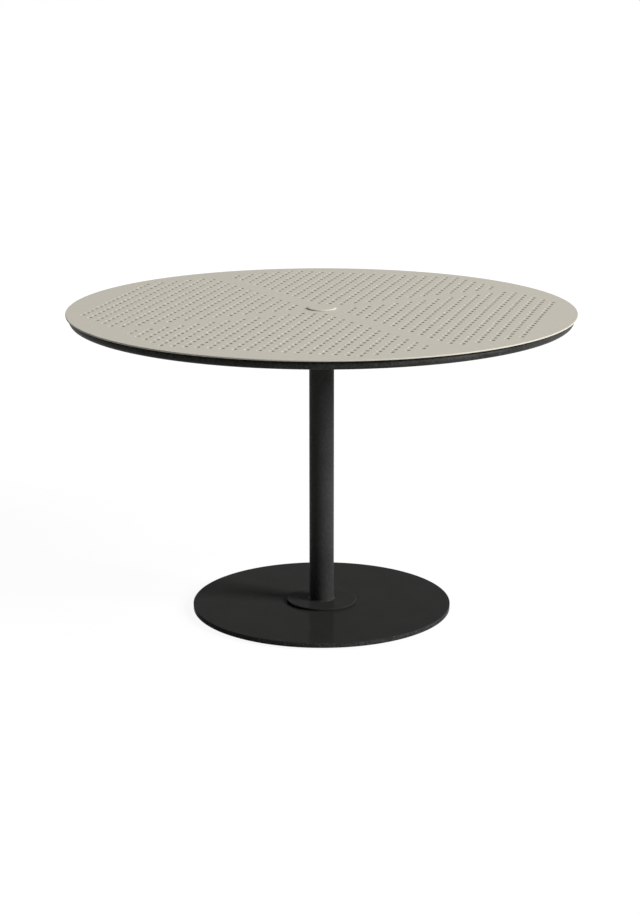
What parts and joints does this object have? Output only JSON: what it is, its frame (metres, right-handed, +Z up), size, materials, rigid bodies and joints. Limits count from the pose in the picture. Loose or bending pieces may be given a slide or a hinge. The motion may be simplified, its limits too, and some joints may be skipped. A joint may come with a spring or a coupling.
{
  "type": "umbrella table",
  "caption": "Round outdoor dining table with a perforated metal top, a capped umbrella hole, a hollow central post and a disc base.",
  "frame": {"origin": "on the floor, under the middle of the table, at the underside of the foot pads", "axes": "+Z up along the post; X and Y lie along the four support arms and the plain bands of the sheet"},
  "size_m": [1.2192, 1.2192, 0.7533],
  "materials": {
    "top_paint": "fine-grained powder coat, warm stone grey",
    "frame_paint": "black powder coat with a fine grain",
    "zinc": "zinc plated",
    "black_nylon": "matte moulded nylon"
  },
  "bodies": {
    "table": {"top_sheet": "top_paint", "rim_ring": "frame_paint", "support_arm_1": "frame_paint", "support_arm_2": "frame_paint", "support_arm_3": "frame_paint", "support_arm_4": "frame_paint", "hub_ring": "frame_paint", "hub_plate": "frame_paint", "post_top_plate": "frame_paint", "hub_bolt_1": "zinc", "bolt_washer_1": "zinc", "weld_nut_1": "frame_paint", "hub_bolt_2": "zinc", "bolt_washer_2": "zinc", "weld_nut_2": "frame_paint", "hub_bolt_3": "zinc", "bolt_washer_3": "zinc", "weld_nut_3": "frame_paint", "hub_bolt_4": "zinc", "bolt_washer_4": "zinc", "weld_nut_4": "frame_paint", "umbrella_bush": "black_nylon", "post_tube": "frame_paint", "post_flange": "frame_paint", "base_plate": "frame_paint", "base_screw_1": "zinc", "base_screw_2": "zinc", "base_screw_3": "zinc", "base_screw_4": "zinc", "foot_pad_1": "black_nylon", "foot_pad_2": "black_nylon", "foot_pad_3": "black_nylon", "foot_pad_4": "black_nylon", "foot_pad_5": "black_nylon", "foot_pad_6": "black_nylon"},
    "cap": {"umbrella_hole_cap": "top_paint"}
  },
  "joints": [
    {"name": "cap_lift", "type": "slide", "parent": "table", "child": "cap", "axis": [0, 0, 1], "range_m": [0, 0.08]}
  ]
}
